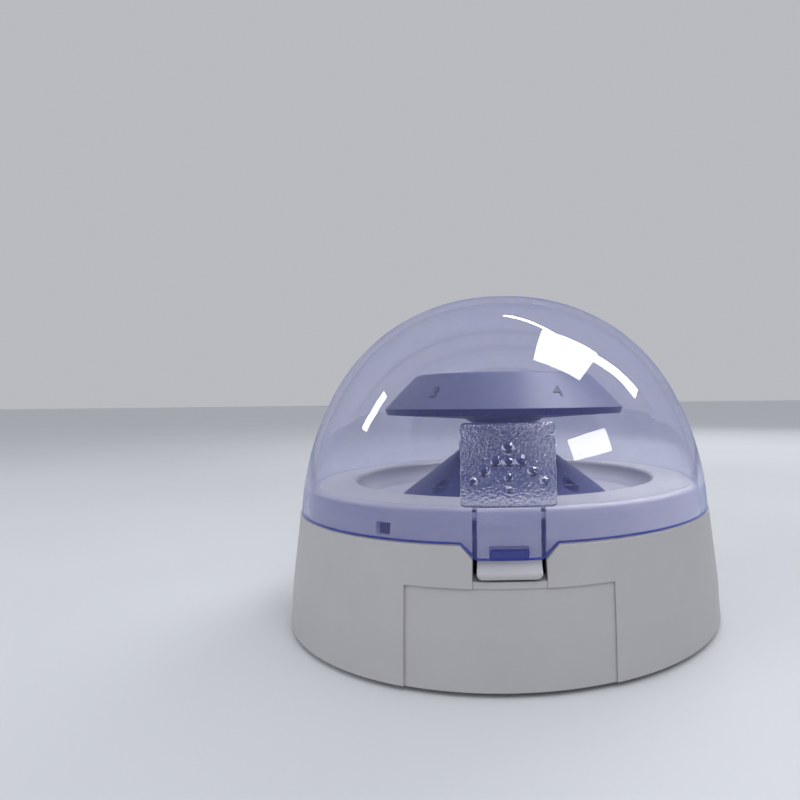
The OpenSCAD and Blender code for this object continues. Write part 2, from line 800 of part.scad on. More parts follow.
module supply_wires() {
    end_z = 12.4;
    socket_y = recess_y - 17.1;
    switch_y = recess_y - 20.1;
    color("firebrick") wire([[9, socket_y, switch_z], [9, 44, switch_z],
        [switch_x, 42, 24], [switch_x, switch_y, switch_z + 5]], 0.7, [0, 0.2, 1]);
    color("firebrick") wire([[switch_x, switch_y, switch_z - 5], [switch_x, 47.5, 15],
        [20.8, 37, 34], [20.8, 37, end_z]], 0.7);
    color(black) wire([[15, socket_y, switch_z], [15, 47, switch_z],
        [23.4, 37, 30], [23.4, 37, end_z]], 0.7);
}

module sensor_wires() {
    color([0.8, 0.8, 0.8])
        wire([[-31.4, -55.8, 37.5], [-31.4, -55.8, 5], [-26, 37, 48], [-26, 37, 12.4]], 0.9);
}

place() housing();
place() chamber_liner();
place() base_plate();
place() rubber_feet();
place() plate_screws();
place() motor_cowl();
place() cowl_screws();
place() motor_bracket();
place() motor_dampers();
place() bracket_screws();
place() motor_can();
place() motor_magnets();
place() motor_bearings();
place() motor_end_cap();
place() motor_screws();
place() motor_armature();
place() motor_shaft();
place() rotor();
place() rotor_insert();
place() rotor_nut();
place() lid_dome();
place() lid_arm();
place() lid_screws();
place() hinge_pin();
place() latch_tab();
place() switch_frame();
place() switch_rocker();
place() switch_terminals();
place() dc_jack();
place() dc_jack_nut();
place() circuit_board();
place() board_screws();
place() board_capacitors();
place() board_heat_sink();
place() board_header();
place() lid_sensor();
place() motor_wires();
place() supply_wires();
place() sensor_wires();
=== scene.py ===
"""Looks of the small bench centrifuge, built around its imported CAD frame."""
import math

import bmesh
import bpy
import numpy as np
from mathutils import Matrix, Vector


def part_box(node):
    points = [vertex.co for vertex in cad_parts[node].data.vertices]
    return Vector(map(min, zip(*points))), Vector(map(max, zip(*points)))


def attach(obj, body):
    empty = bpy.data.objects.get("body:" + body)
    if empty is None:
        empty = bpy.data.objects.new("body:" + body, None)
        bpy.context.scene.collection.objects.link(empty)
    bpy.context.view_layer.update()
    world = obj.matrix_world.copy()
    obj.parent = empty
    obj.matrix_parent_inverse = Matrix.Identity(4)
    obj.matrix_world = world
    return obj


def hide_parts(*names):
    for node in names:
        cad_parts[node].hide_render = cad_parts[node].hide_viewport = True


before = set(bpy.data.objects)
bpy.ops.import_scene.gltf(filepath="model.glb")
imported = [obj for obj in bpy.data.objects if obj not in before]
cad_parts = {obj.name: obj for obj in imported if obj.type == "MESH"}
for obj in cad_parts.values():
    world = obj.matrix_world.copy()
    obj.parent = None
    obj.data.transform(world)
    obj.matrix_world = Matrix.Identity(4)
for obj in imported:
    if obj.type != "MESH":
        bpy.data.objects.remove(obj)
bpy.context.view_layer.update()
MM = 0.001

# ---------------------------------------------------------------- places from the frame
can_low, can_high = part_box("motor_can")
AXIS = Vector(((can_low.x + can_high.x) / 2, (can_low.y + can_high.y) / 2, 0))
rotor_low, rotor_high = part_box("rotor")

# ---------------------------------------------------------------- lid sizes, in millimetres
LID_R, SIDE_ARC, SHOULDER_ARC = 73.8, 96.0, 66.0    # largest radius, arcs of side and shoulder
SIDE_Z, SIDE_TURN, CROWN_TURN = 33.5, 29.3, 79.8    # height of the side arc's centre, arc ends in degrees
LID_T = 2.3                                         # wall
RIM_Z = 38.3                                        # lower edge
EDGE_INSET = 0.35                                   # rounding of the lower edge
FLAP_Z = 34.2                                       # lower edge of the flap
FLAP_TOP, FLAP_LOW = 13.1, 8.8                      # half widths of the flap
CATCH_HALF, CATCH_TOP, CATCH_T = 4.9, 36.5, 1.1     # half width, top and depth of the catch
GRIP_W, GRIP_LOW, GRIP_HIGH, GRIP_T = 25.5, 48.0, 69.7, 1.3
RIM_TINT = 0.15                                     # how deep blue the lower band is, 0 to 1
DOT_FROST = 0.04                                    # how pebbled the smooth dots are, 0 to 1
DOT_DOME = 0.70                                     # height of a dot over its radius

# ---------------------------------------------------------------- rotor numbers, in millimetres
CONE_LOW_Z, CONE_TOP_R = 72.9, 33.4
DIGIT_Z, DIGIT_SIZE, DIGIT_HALF_T = 78.2, 7.2, 0.1
DIGIT_OUT, DIGIT_IN = 0.15, -0.05                   # faces of a digit above and below the cone
FIRST_SEEN, FIRST_TURN = 4, 25.0                    # this number stands this far right of the front


# ================================================================ node helpers
class Nodes:
    """Short-hand for building one material's node tree."""

    def __init__(self, name):
        self.mat = bpy.data.materials.new(name)
        self.mat.use_nodes = True
        self.tree = self.mat.node_tree
        self.tree.nodes.clear()
        self.out = self.add("ShaderNodeOutputMaterial")

    def add(self, kind, inputs=None, **props):
        node = self.tree.nodes.new(kind)
        for key, value in props.items():
            setattr(node, key, value)
        for key, value in (inputs or {}).items():
            self.feed(node.inputs[key], value)
        return node

    def feed(self, socket, value):
        if isinstance(value, bpy.types.NodeSocket):
            self.tree.links.new(value, socket)
        else:
            socket.default_value = value

    def place(self):
        return self.add("ShaderNodeTexCoord").outputs["Object"]

    def stretched(self, scale):
        mapping = self.add("ShaderNodeMapping", {"Vector": self.place(), "Scale": scale})
        return mapping.outputs["Vector"]

    def noise(self, size_mm, detail=3.0, rough=0.6, vector=None):
        node = self.add("ShaderNodeTexNoise", {
            "Vector": vector or self.place(), "Scale": 1.0 / (size_mm * MM),
            "Detail": detail, "Roughness": rough})
        return node.outputs["Fac"]

    def cells(self, size_mm, feature="F1"):
        node = self.add("ShaderNodeTexVoronoi", {
            "Vector": self.place(), "Scale": 1.0 / (size_mm * MM)}, feature=feature)
        return node.outputs["Distance"]

    def spread(self, value, low, high):
        node = self.add("ShaderNodeMapRange", {"Value": value, "To Min": low, "To Max": high})
        return node.outputs["Result"]

    def ramp(self, value, stops):
        node = self.add("ShaderNodeValToRGB", {"Fac": value})
        ramp = node.color_ramp
        while len(ramp.elements) < len(stops):
            ramp.elements.new(0.5)
        for element, (pos, colour) in zip(ramp.elements, stops):
            element.position = pos
            element.color = (*colour, 1)
        return node.outputs["Color"]

    def math(self, operation, a, b=0.0):
        node = self.add("ShaderNodeMath", operation=operation)
        self.feed(node.inputs[0], a)
        self.feed(node.inputs[1], b)
        return node.outputs[0]

    def bump(self, height, strength, depth_mm, normal=None):
        inputs = {"Height": height, "Strength": strength, "Distance": depth_mm * MM}
        if normal is not None:
            inputs["Normal"] = normal
        return self.add("ShaderNodeBump", inputs).outputs["Normal"]

    def rounded(self, radius_mm):
        return self.add("ShaderNodeBevel", {"Radius": radius_mm * MM}, samples=4).outputs["Normal"]

    def principled(self, inputs):
        return self.add("ShaderNodeBsdfPrincipled", inputs)

    def finish(self, shader):
        self.tree.links.new(shader, self.out.inputs["Surface"])
        return self.mat


def shade(colour, factor):
    """A colour made darker or lighter by a factor."""
    return tuple(min(1.0, c * factor) for c in colour)


def plastic(name, colour, rough, grain, grain_depth, mottle, edge=0.35):
    """Moulded plastic: fine spark-eroded grain, soft blotches, rounded edges."""
    n = Nodes(name)
    blotch = n.noise(14, 4)
    fine = n.noise(grain, 2, 0.7)
    cloud = n.math("ADD", n.math("MULTIPLY", blotch, 0.7), n.math("MULTIPLY", fine, 0.3))
    base = n.ramp(cloud, [(0.3, shade(colour, 1 - mottle)), (0.7, shade(colour, 1 + mottle))])
    normal = n.rounded(edge) if edge else None
    normal = n.bump(fine, 0.35, grain_depth, normal)
    normal = n.bump(n.noise(30, 1), 0.25, 0.12, normal)
    scuff = n.noise(5, 6, 0.75)
    rough_map = n.spread(scuff, rough - 0.08, rough + 0.08)
    shader = n.principled({
        "Base Color": base, "Roughness": rough_map, "Normal": normal,
        "Specular IOR Level": 0.45})
    return n.finish(shader.outputs[0])


def shaded_plastic(name, top, painted_shade_colour, rough=0.33):
    """Dark glossy moulding with painted light: paler colour where it faces up, painted shade where it
    faces down.
    """
    n = Nodes(name)
    up = n.add("ShaderNodeSeparateXYZ", {
        0: n.add("ShaderNodeNewGeometry").outputs["Normal"]}).outputs["Z"]
    cloud = n.math("MULTIPLY", n.noise(9, 5, 0.7), 0.5)
    # painted light and shade by facing: the top colour where the face looks up, the deep shade colour
    # where it looks down
    base = n.ramp(n.math("ADD", n.math("MULTIPLY", up, 0.6), cloud),
                  [(0.15, painted_shade_colour), (0.62, top), (1.0, shade(top, 1.15))])
    fine = n.noise(0.25, 2, 0.7)
    normal = n.bump(fine, 0.35, 0.015, n.rounded(0.4))
    normal = n.bump(n.noise(24, 1), 0.25, 0.12, normal)
    shader = n.principled({
        "Base Color": base, "Roughness": n.spread(n.noise(5, 6, 0.75), rough - 0.08, rough + 0.1),
        "Normal": normal, "Specular IOR Level": 0.22})
    return n.finish(shader.outputs[0])


def deep_plastic(name, colour, deep, level, rough=0.34):
    """Pale moulding painted brighter below a level in mm, inside the bowl: painted light over the bowl's
    shade.
    """
    n = Nodes(name)
    height = n.add("ShaderNodeSeparateXYZ", {
        0: n.add("ShaderNodeNewGeometry").outputs["Position"]}).outputs["Z"]
    # painted light: the colour goes over to the brighter one within 4 mm below the level
    below = n.spread(n.math("SUBTRACT", level * MM, height), 0.0, 1.0)
    painted_light_share = n.math("MULTIPLY", below, 250.0)
    base = n.ramp(painted_light_share, [(0.0, colour), (1.0, deep)])
    cloud = n.noise(14, 4)
    base = n.add("ShaderNodeMixRGB", {0: n.math("MULTIPLY", cloud, 0.06), 1: base,
                                      2: (*shade(colour, 0.6), 1)}).outputs[0]
    normal = n.bump(n.noise(0.4, 2, 0.7), 0.35, 0.012, n.rounded(0.5))
    shader = n.principled({
        "Base Color": base, "Roughness": n.spread(n.noise(5, 6, 0.75), rough - 0.08, rough + 0.08),
        "Normal": normal, "Specular IOR Level": 0.45})
    return n.finish(shader.outputs[0])


def metal(name, colour, rough, stretch=(1, 1, 18)):
    """Drawn or turned metal: streaks along one direction and small scratches."""
    n = Nodes(name)
    streak = n.noise(0.6, 4, 0.7, n.stretched(stretch))
    spots = n.noise(3.5, 3)
    base = n.ramp(streak, [(0.25, shade(colour, 0.82)), (0.8, shade(colour, 1.08))])
    rough_map = n.math("ADD", n.spread(streak, rough - 0.08, rough + 0.1),
                       n.math("MULTIPLY", spots, 0.08))
    normal = n.bump(streak, 0.14, 0.01, n.rounded(0.12))
    shader = n.principled({
        "Base Color": base, "Metallic": 1.0, "Roughness": rough_map, "Normal": normal})
    return n.finish(shader.outputs[0])


def rubber(name, colour):
    """Matt black rubber with pale dust."""
    n = Nodes(name)
    dust = n.noise(1.8, 5, 0.7)
    base = n.ramp(dust, [(0.35, colour), (0.85, shade(colour, 2.4))])
    normal = n.bump(n.noise(0.25, 2), 0.4, 0.03, n.rounded(0.25))
    shader = n.principled({"Base Color": base, "Roughness": 0.75, "Normal": normal,
                           "Specular IOR Level": 0.3})
    return n.finish(shader.outputs[0])


def lid_plastic():
    """Clear blue-tinted plastic, pebbled by the frost attribute, deep blue by the edge one."""
    n = Nodes("lid_clear_tint")
    frost = n.add("ShaderNodeAttribute", attribute_name="frost").outputs["Fac"]
    edge = n.add("ShaderNodeAttribute", attribute_name="edge").outputs["Fac"]
    pebble = n.math("ADD", n.cells(0.62, "SMOOTH_F1"), n.noise(0.5, 2, 0.6))
    wave = n.noise(26, 2)
    haze = n.noise(7, 5, 0.7)
    rough_map = n.math("ADD", n.math("MULTIPLY", frost, 0.10), n.spread(haze, 0.0, 0.03))
    pebble_bump = n.add("ShaderNodeBump", {"Distance": 0.36 * MM, "Height": pebble,
                                           "Strength": n.math("MULTIPLY", frost, 0.8)})
    normal = n.bump(wave, 0.25, 0.25, pebble_bump.outputs["Normal"])
    clear = n.principled({
        "Base Color": (0.97, 0.97, 1.0, 1), "Roughness": rough_map, "IOR": 1.5,
        "Transmission Weight": 1.0, "Specular IOR Level": 0.32, "Normal": normal})
    deep = n.ramp(edge, [(0.0, (0.05, 0.085, 0.55)), (1.0, (0.012, 0.022, 0.20))])
    milky = n.add("ShaderNodeBsdfDiffuse", {"Color": deep})
    veil = n.math("ADD", n.spread(haze, 0.03, 0.10), n.math("MULTIPLY", edge, 0.8))
    veil = n.math("ADD", veil, n.math("MULTIPLY", frost, 0.05))
    grazing = n.add("ShaderNodeLayerWeight", {"Blend": 0.5}).outputs["Facing"]
    rim = n.math("MULTIPLY", n.spread(n.math("POWER", grazing, 9.0), 0.0, 0.75),
                 n.spread(n.noise(22, 2), 0.1, 0.9))
    veil = n.math("ADD", veil, rim)
    tinted = n.add("ShaderNodeMixShader", {0: veil, 1: clear.outputs[0], 2: milky.outputs[0]})
    specks = n.ramp(n.cells(3.2), [(0.035, (1, 1, 1)), (0.06, (0, 0, 0))])
    pale = n.add("ShaderNodeBsdfDiffuse", {"Color": (0.70, 0.74, 0.90, 1)})
    # painted highlight: pale spots on the pebbled grip stand in for glints
    painted_glint = n.ramp(n.cells(0.8), [(0.22, (1, 1, 1)), (0.50, (0, 0, 0))])
    # grain here holds the painted glints plus an even pale frost, only where the grip is pebbled
    grain = n.math("MULTIPLY", frost, n.math("ADD", n.math("MULTIPLY", painted_glint, 0.17), 0.03))
    # real dust specks plus the painted glints and frost
    dust_and_glint = n.math("ADD", n.math("MULTIPLY", specks, 0.45), grain)
    body = n.add("ShaderNodeMixShader", {0: dust_and_glint, 1: tinted.outputs[0], 2: pale.outputs[0]})
    through = n.add("ShaderNodeBsdfTransparent", {"Color": (0.945, 0.947, 0.97, 1)})
    shadow = n.add("ShaderNodeLightPath").outputs["Is Shadow Ray"]
    mix = n.add("ShaderNodeMixShader", {0: shadow, 1: body.outputs[0], 2: through.outputs[0]})
    tint = n.add("ShaderNodeVolumeAbsorption", {"Color": (0.66, 0.68, 0.86, 1),
                                                "Density": 40.0})
    n.tree.links.new(tint.outputs[0], n.out.inputs["Volume"])
    return n.finish(mix.outputs[0])


def board_material():
    """Green solder mask over traces, with pale pads and silk marks."""
    n = Nodes("solder_mask")
    bricks = n.add("ShaderNodeTexBrick", {
        "Vector": n.place(), "Scale": 240.0, "Mortar Size": 0.012, "Color1": (0.02, 0.16, 0.07, 1),
        "Color2": (0.03, 0.20, 0.09, 1), "Mortar": (0.06, 0.33, 0.15, 1)})
    pads = n.ramp(n.cells(2.4), [(0.10, (0.75, 0.74, 0.66)), (0.14, (0, 0, 0))])
    mix = n.add("ShaderNodeMix", {"Factor": n.ramp(n.cells(2.4), [(0.12, (1, 1, 1)),
                                                                  (0.15, (0, 0, 0))])},
                data_type="RGBA")
    n.tree.links.new(bricks.outputs["Color"], mix.inputs[6])
    n.tree.links.new(pads, mix.inputs[7])
    shader = n.principled({"Base Color": mix.outputs[2], "Roughness": 0.3,
                           "Normal": n.bump(bricks.outputs["Fac"], 0.3, 0.03)})
    return n.finish(shader.outputs[0])


def winding_material():
    """Copper wire wound in even turns."""
    n = Nodes("winding")
    wave = n.add("ShaderNodeTexWave", {"Vector": n.place(), "Scale": 700.0, "Distortion": 1.5},
                 bands_direction="Z")
    base = n.ramp(wave.outputs["Fac"], [(0.2, (0.25, 0.10, 0.04)), (0.8, (0.62, 0.30, 0.13))])
    shader = n.principled({"Base Color": base, "Metallic": 0.7, "Roughness": 0.35,
                           "Normal": n.bump(wave.outputs["Fac"], 0.5, 0.05)})
    return n.finish(shader.outputs[0])


def floor_material():
    """Pale matt floor."""
    n = Nodes("pale_floor")
    cloud = n.noise(220, 2)
    base = n.ramp(cloud, [(0.3, (0.70, 0.72, 0.75)), (0.7, (0.74, 0.76, 0.79))])
    shader = n.principled({"Base Color": base, "Roughness": n.spread(cloud, 0.5, 0.58),
                           "Specular IOR Level": 0.3})
    return n.finish(shader.outputs[0])


# ================================================================ materials on the CAD nodes
# Colours are linear. plastic() takes roughness, grain size, grain depth, mottle and edge rounding.
GREY = (0.445, 0.440, 0.452)
LINER = (0.455, 0.455, 0.44)
# painted shade colour for the cowl's faces that look down
COWL_PAINTED_SHADE = (0.010, 0.016, 0.075)
MATERIALS = {
    "housing": plastic("housing_abs", GREY, 0.5, 0.28, 0.03, 0.03),
    # the bowl's inside is painted brighter below 46 mm, as painted light
    "liner": deep_plastic("liner_abs", LINER, (0.93, 0.93, 0.93), 46.0),
    "plate": plastic("plate_abs", shade(GREY, 0.8), 0.6, 0.35, 0.04, 0.05),
    "latch": plastic("latch_pom", (0.46, 0.46, 0.475), 0.3, 0.3, 0.01, 0.03, 0.35),
    # rotor and cowl: painted light on faces that look up, painted shade on faces that look down
    "rotor": shaded_plastic("rotor_dark", (0.10, 0.11, 0.165), (0.002, 0.005, 0.05), 0.42),
    "cowl": shaded_plastic("cowl_dark", (0.045, 0.055, 0.135), COWL_PAINTED_SHADE),
    "black": plastic("black_nylon", (0.018, 0.018, 0.02), 0.5, 0.2, 0.02, 0.3, 0.2),
    "rocker": plastic("rocker_black", (0.012, 0.012, 0.014), 0.18, 0.5, 0.004, 0.3, 0.3),
    "white": plastic("header_nylon", (0.72, 0.71, 0.66), 0.4, 0.2, 0.01, 0.04, 0.1),
    "sleeve": plastic("capacitor_sleeve", (0.02, 0.03, 0.12), 0.25, 0.3, 0.01, 0.2, 0.3),
    "red_wire": plastic("wire_red", (0.36, 0.02, 0.02), 0.4, 0.3, 0.01, 0.1, 0),
    "grey_wire": plastic("wire_grey", (0.34, 0.34, 0.35), 0.45, 0.3, 0.01, 0.1, 0),
    "rubber": rubber("foot_rubber", (0.022, 0.022, 0.024)),
    "steel": metal("zinc_steel", (0.56, 0.57, 0.60), 0.3),
    "can": metal("motor_can_steel", (0.62, 0.63, 0.65), 0.24, (1, 1, 24)),
    "ground": metal("ground_steel", (0.66, 0.67, 0.69), 0.16, (1, 1, 1)),
    "nickel": metal("nickel_plate", (0.70, 0.69, 0.67), 0.12, (1, 1, 1)),
    "bronze": metal("bronze", (0.60, 0.42, 0.18), 0.3, (1, 1, 6)),
    "ferrite": metal("ferrite", (0.06, 0.06, 0.065), 0.55, (1, 1, 1)),
    "alloy": metal("heat_sink_alloy", (0.60, 0.61, 0.63), 0.3, (1, 1, 20)),
    "winding": winding_material(),
    "board": board_material(),
    "lid": lid_plastic(),
}
NODE_MATERIALS = {
    "housing": ["housing", "lid_arm"],
    "liner": ["chamber_liner"],
    "plate": ["base_plate"],
    "latch": ["latch_tab"],
    "rotor": ["rotor", "rotor_nut"],
    "cowl": ["motor_cowl"],
    "black": ["motor_end_cap", "switch_frame", "dc_jack", "lid_sensor"],
    "rocker": ["switch_rocker"],
    "white": ["board_header"],
    "sleeve": ["board_capacitors"],
    "red_wire": ["motor_wires", "supply_wires"],
    "grey_wire": ["sensor_wires"],
    "rubber": ["rubber_feet", "motor_dampers"],
    "steel": ["plate_screws", "cowl_screws", "bracket_screws", "motor_screws", "board_screws",
              "lid_screws", "motor_bracket"],
    "can": ["motor_can"],
    "ground": ["motor_shaft", "hinge_pin"],
    "nickel": ["dc_jack_nut"],
    "bronze": ["motor_bearings", "rotor_insert", "switch_terminals"],
    "ferrite": ["motor_magnets"],
    "alloy": ["board_heat_sink"],
    "winding": ["motor_armature"],
    "board": ["circuit_board"],
    "lid": ["lid_dome"],
}


def smooth_by_angle(obj, degrees=32):
    """Smooth shading with sharp edges where faces meet at more than the angle."""
    mesh = obj.data
    mesh.polygons.foreach_set("use_smooth", [True] * len(mesh.polygons))
    mesh.set_sharp_from_angle(angle=math.radians(degrees))
    mesh.update()


def dress_frame():
    """Give every CAD node its material."""
    for key, nodes in NODE_MATERIALS.items():
        for name in nodes:
            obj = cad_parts[name]
            obj.data.materials.clear()
            obj.data.materials.append(MATERIALS[key])
            smooth_by_angle(obj)


# ================================================================ lid
def lid_arcs(t):
    """Centres and radii of the lid's three arcs, moved inwards by t, as (r, z) in mm."""
    side_c = np.array([LID_R - SIDE_ARC, SIDE_Z])
    turn = math.radians(SIDE_TURN)
    turn_1 = side_c + SIDE_ARC * np.array([math.cos(turn), math.sin(turn)])
    shoulder_c = turn_1 - SHOULDER_ARC * np.array([math.cos(turn), math.sin(turn)])
    top = math.radians(CROWN_TURN)
    turn_2 = shoulder_c + SHOULDER_ARC * np.array([math.cos(top), math.sin(top)])
    crown = turn_2[0] / math.cos(top)
    crown_c = np.array([0, turn_2[1] - crown * math.sin(top)])
    return (side_c, SIDE_ARC - t), (shoulder_c, SHOULDER_ARC - t), (crown_c, crown - t)


def side_radius(z, t):
    """Radius of the lid's lower side at height z."""
    (centre, radius), _, _ = lid_arcs(t)
    return centre[0] + math.sqrt(radius ** 2 - (z - centre[1]) ** 2)


def upper_profile(t, z_from, step_deg):
    """(r, z) points from height z_from on the side arc up to just below the apex."""
    side, shoulder, crown = lid_arcs(t)
    points = []
    start = math.degrees(math.asin((z_from - side[0][1]) / side[1]))
    spans = [(side, start, SIDE_TURN), (shoulder, SIDE_TURN, CROWN_TURN), (crown, CROWN_TURN, 89.4)]
    for (centre, radius), a, b in spans:
        count = max(2, int((b - a) / step_deg))
        for i in range(count):
            angle = math.radians(a + (b - a) * i / count)
            points.append((centre[0] + radius * math.cos(angle),
                           centre[1] + radius * math.sin(angle)))
    return points, (0.0, crown[0][1] + crown[1])


def soft_step(x, width):
    """0 below -width/2, 1 above width/2, smooth between."""
    t = min(1.0, max(0.0, x / width + 0.5))
    return t * t * (3 - 2 * t)


def grip_cover(x, z):
    """How much of the raised grip covers a point of the lid's front, 0 to 1."""
    corner = 1.3
    cx = abs(x) - GRIP_W / 2
    cz = abs(z - (GRIP_LOW + GRIP_HIGH) / 2) - (GRIP_HIGH - GRIP_LOW) / 2
    out = math.hypot(max(cx + corner, 0), max(cz + corner, 0)) - corner
    inside = min(max(cx + corner, cz + corner), 0)
    return soft_step(-(out + inside) - 0.25, 0.5)


# Centres and radii of the raised dots that draw an arrow, from the grip's middle
ARROW = [(0, 4.3, 1.7), (0, 0.7, 1.4), (0, -3.2, 1.15), (0, -6.2, 0.8)]
for step in (1, 2, 3):
    ARROW += [(side * (0.1 + 3.0 * step), 3.4 - 2.55 * step, 1.8 - 0.22 * step) for side in (-1, 1)]


def arrow_height(x, z):
    """How far the dots stand above the grip at a point, 0 away from them."""
    middle = (GRIP_LOW + GRIP_HIGH) / 2
    height = 0.0
    for dx, dz, radius in ARROW:
        d2 = ((x - dx) ** 2 + (z - middle - dz) ** 2) / radius ** 2
        if d2 < 1:
            height = max(height, DOT_DOME * radius * math.sqrt(1 - d2))
    return height


def rim_height(x, front):
    """Height of the lid's lower edge at x; the flap hangs down at the front."""
    if not front or abs(x) >= FLAP_TOP:
        return RIM_Z
    t = (abs(x) - FLAP_LOW) / (FLAP_TOP - FLAP_LOW)
    return FLAP_Z + (RIM_Z - FLAP_Z) * min(1.0, max(0.0, t))


def lid_columns():
    """Azimuths in degrees from the front, fine across the flap and grip."""
    fine = list(np.arange(-12.4, 12.401, 0.2))
    coarse = list(np.arange(14.0, 346.1, 2.0))
    return fine + coarse


def build_lid():
    """Clear shell in one closed mesh: outer skin, rim, inner skin."""
    columns = lid_columns()
    # heights of the rows above the lower edge, closest together around the catch
    low_steps = [0.0, 0.25, 0.6, 1.1, 1.6, 1.9, 2.2, 2.8, 3.6, 5.0, 7.0, 9.5, 12.0]
    low_span = 12.6
    low_top = GRIP_LOW - 0.6
    grip_rows = list(np.arange(low_top, GRIP_HIGH + 0.7, 0.25))
    outer_up, outer_apex = upper_profile(0, grip_rows[-1] + 0.4, 2.0)
    inner_up, inner_apex = upper_profile(LID_T, low_top, 2.6)
    verts, frost, deep, rows = [], [], [], []

    def ring(radius_of, z_of, rim=0.0):
        """One row of points around the lid, with how pebbled and how deep blue each is."""
        rows.append(range(len(verts), len(verts) + len(columns)))
        for a in columns:
            s, c = math.sin(math.radians(a)), math.cos(math.radians(a))
            front = c > 0.5
            x0 = LID_R * s
            z = z_of(x0, front)
            r, k = radius_of(z, s, front)
            verts.append((r * s, -r * c, z))
            frost.append(max(k, 0.0))
            deep.append(max(rim, -k))

    def low_z(step):
        def z_of(x, front):
            rim = rim_height(x, front)
            return rim + (low_top - rim) * min(1.0, step / low_span)
        return z_of

    def outer_r(inset):
        def radius_of(z, s, front):
            r = side_radius(z, 0) - inset
            if not front:
                return r, 0.0
            cover = grip_cover(r * s, z)
            dot = arrow_height(r * s, z)
            return r + cover * (GRIP_T + dot), cover * (DOT_FROST if dot > 0 else 1.0)
        return radius_of

    def inner_r(inset):
        def radius_of(z, s, front):
            r = side_radius(z, LID_T) + inset
            catch = 0.0
            if front and abs(r * s) < CATCH_HALF + 0.3 and z < CATCH_TOP + 0.3:
                catch = soft_step(CATCH_HALF - abs(r * s), 0.5) * soft_step(CATCH_TOP - z, 0.5)
            return r - CATCH_T * catch, -catch
        return radius_of

    # inner skin from its apex ring down to the rim, then the outer skin up
    for r, z in reversed(inner_up):
        ring(lambda _z, _s, _f, r=r: (r, 0.0), lambda _x, _f, z=z: z)
    for step in reversed(low_steps[1:]):
        ring(inner_r(0), low_z(step), max(0.0, 1 - step / 0.6))
    ring(inner_r(EDGE_INSET), low_z(0), 1.0)
    ring(outer_r(EDGE_INSET), low_z(0), 1.0)
    for step in low_steps[1:]:
        ring(outer_r(0), low_z(step), max(RIM_TINT, 1 - step / 0.6))
    for z in grip_rows:
        ring(outer_r(0), lambda _x, _f, z=z: z)
    for r, z in outer_up:
        ring(lambda _z, _s, _f, r=r: (r, 0.0), lambda _x, _f, z=z: z)

    count = len(columns)
    faces = []
    for low, high in zip(rows, rows[1:]):
        for i in range(count):
            j = (i + 1) % count
            faces.append((low[i], low[j], high[j], high[i]))
    for row, apex, flip in ((rows[0], inner_apex, True), (rows[-1], outer_apex, False)):
        tip = len(verts)
        verts.append((0, 0, apex[1]))
        frost.append(0.0)
        deep.append(0.0)
        for i in range(count):
            j = (i + 1) % count
            faces.append((tip, row[j], row[i]) if flip else (row[i], row[j], tip))
    mesh = bpy.data.meshes.new("lid_shell")
    mesh.from_pydata([(x * MM + AXIS.x, y * MM + AXIS.y, z * MM) for x, y, z in verts], [], faces)
    for name, values in (("frost", frost), ("edge", deep)):
        mesh.attributes.new(name, "FLOAT", "POINT").data.foreach_set("value", values)
    mesh.polygons.foreach_set("use_smooth", [True] * len(mesh.polygons))
    mesh.update()
    lid = bpy.data.objects.new("lid_shell", mesh)
    bpy.context.scene.collection.objects.link(lid)
    shell = bmesh.new()
    shell.from_mesh(mesh)
    bmesh.ops.recalc_face_normals(shell, faces=shell.faces)
    shell.to_mesh(mesh)
    shell.free()
    mesh.set_sharp_from_angle(angle=math.radians(50))
    mesh.materials.append(MATERIALS["lid"])
    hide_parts("lid_dome")
    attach(lid, "lid")


# ================================================================ rotor numbers
def ink_material():
    """Worn dark ink."""
    n = Nodes("number_ink")
    worn = n.noise(0.5, 3)
    base = n.ramp(worn, [(0.3, (0.004, 0.005, 0.012)), (0.8, (0.012, 0.014, 0.03))])
    shader = n.principled({"Base Color": base, "Roughness": n.spread(worn, 0.2, 0.5)})
    return n.finish(shader.outputs[0])


def lay_on_rotor(mesh, place, across, up, normal):
    """Bend a flat digit onto the rotor's cone, by dropping every point onto it."""
    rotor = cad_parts["rotor"]
    into = rotor.matrix_world.inverted()
    aim = (into.to_3x3() @ -normal).normalized()
    for vertex in mesh.vertices:
        x, y, z = vertex.co
        start = place + across * x + up * y + normal * 4 * MM
        hit, where, _, _ = rotor.ray_cast(into @ start, aim)
        ground = rotor.matrix_world @ where if hit else start - normal * 4 * MM
        vertex.co = ground + normal * (DIGIT_OUT if z > 0 else DIGIT_IN) * MM
    mesh.update()


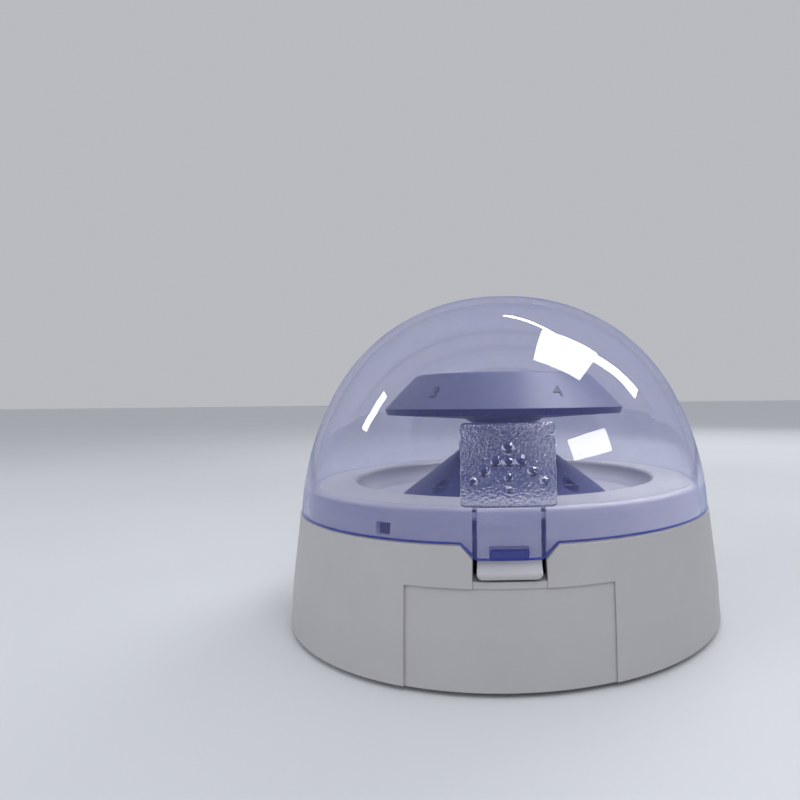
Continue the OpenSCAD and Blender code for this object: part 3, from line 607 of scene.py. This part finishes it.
def build_numbers():
    """Raised position numbers spread evenly around the rotor's cone."""
    top_z, edge_z = rotor_high.z, CONE_LOW_Z * MM
    top_r, edge_r = CONE_TOP_R * MM, (rotor_high.x - rotor_low.x) / 2
    lean = math.atan2(top_z - edge_z, edge_r - top_r)
    ink = ink_material()
    middle_z = DIGIT_Z * MM
    share = (middle_z - edge_z) / (top_z - edge_z)
    middle_r = edge_r + (top_r - edge_r) * share
    for number in range(1, 7):
        turn = math.radians(-90 + FIRST_TURN + 60 * (number - FIRST_SEEN))
        curve = bpy.data.curves.new(f"number_{number}", "FONT")
        curve.body = str(number)
        curve.size = DIGIT_SIZE * MM
        curve.extrude = DIGIT_HALF_T * MM
        curve.align_x = "CENTER"
        curve.align_y = "CENTER"
        text = bpy.data.objects.new(f"rotor_number_{number}", curve)
        bpy.context.scene.collection.objects.link(text)
        out = Vector((math.cos(turn), math.sin(turn), 0))
        up = Vector((-out.x * math.cos(lean), -out.y * math.cos(lean), math.sin(lean)))
        normal = Vector((out.x * math.sin(lean), out.y * math.sin(lean), math.cos(lean)))
        across = up.cross(normal)
        place = AXIS + out * middle_r + Vector((0, 0, middle_z))
        bpy.context.view_layer.update()
        mesh = bpy.data.meshes.new_from_object(
            text.evaluated_get(bpy.context.evaluated_depsgraph_get()))
        lay_on_rotor(mesh, place, across, up, normal)
        piece = bpy.data.objects.new(f"rotor_digit_{number}", mesh)
        bpy.context.scene.collection.objects.link(piece)
        bpy.data.objects.remove(text)
        mesh.materials.clear()
        mesh.materials.append(ink)
        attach(piece, "rotor_group")


# ================================================================ studio
def look_at(obj, target):
    """Turn an object's -Z towards a point."""
    obj.rotation_euler = (Vector(target) - obj.location).to_track_quat("-Z", "Y").to_euler()


def softbox(name, place, target, size, power):
    """White rectangular lamp aimed at a point."""
    data = bpy.data.lights.new(name, "AREA")
    data.shape = "RECTANGLE"
    data.size, data.size_y = size
    data.energy = power
    lamp = bpy.data.objects.new(name, data)
    bpy.context.scene.collection.objects.link(lamp)
    lamp.location = place
    look_at(lamp, target)
    return lamp


def build_studio():
    """Pale floor, even surroundings, soft lamps and the cards that show in the lid."""
    mesh = bpy.data.meshes.new("floor")
    half = 12.0
    mesh.from_pydata([(-half, -half, 0), (half, -half, 0), (half, half, 0), (-half, half, 0)],
                     [], [(0, 1, 2, 3)])
    floor = bpy.data.objects.new("floor", mesh)
    bpy.context.scene.collection.objects.link(floor)
    mesh.materials.append(floor_material())
    world = bpy.data.worlds.new("studio")
    bpy.context.scene.world = world
    world.use_nodes = True
    world.node_tree.nodes["Background"].inputs["Color"].default_value = (0.86, 0.88, 0.93, 1)
    world.node_tree.nodes["Background"].inputs["Strength"].default_value = 0.56
    middle = (AXIS.x, AXIS.y, 0.06)
    # lamps that only light, and don't show in the lid
    for name, place, size, power in (
            ("key", (0.25, -0.60, 0.85), (0.60, 0.60), 2.9),
            ("fill", (-0.75, -0.35, 0.45), (0.70, 0.70), 1.7),
            ("back", (0.55, 0.80, 0.75), (0.70, 0.50), 3.7)):
        lamp = softbox(name, place, middle, size, power)
        lamp.visible_glossy = False
        lamp.visible_transmission = False
    # cards that show only as reflections: two windows, a window's side, a tube and a strip
    for name, place, size, power in (
            ("window", (0.38, -0.03, 0.83), (0.42, 0.36), 9.0),
            ("window_side", (0.62, 0.10, 0.62), (0.10, 0.34), 2.4),
            ("tube", (0.22, 0.30, 1.00), (0.50, 0.03), 1.4),
            ("low_window", (0.58, -0.51, 0.43), (0.34, 0.13), 2.0),
            ("strip", (-0.73, 0.01, 0.46), (0.07, 0.20), 0.7)):
        card = softbox(name, place, middle, size, power)
        card.visible_diffuse = False
        card.visible_transmission = False


def build_camera():
    """Level camera at the height of the rotor's edge, close in front."""
    view_yaw = math.radians(0.85)
    distance, height = 0.225, 0.0759
    data = bpy.data.cameras.new("camera")
    data.sensor_width = 36.0
    data.lens = 26.325
    data.shift_x = -0.1296
    data.clip_start = 0.005
    camera = bpy.data.objects.new("camera", data)
    bpy.context.scene.collection.objects.link(camera)
    camera.location = (AXIS.x - distance * math.sin(view_yaw),
                       AXIS.y - distance * math.cos(view_yaw), height)
    roll = math.radians(-0.66)
    camera.rotation_euler = (
        Matrix.Rotation(-view_yaw, 4, "Z") @ Matrix.Rotation(math.radians(90), 4, "X")
        @ Matrix.Rotation(roll, 4, "Z")).to_euler()
    bpy.context.scene.camera = camera


dress_frame()
build_lid()
build_numbers()
build_studio()
build_camera()
bpy.context.scene.view_settings.view_transform = "Standard"
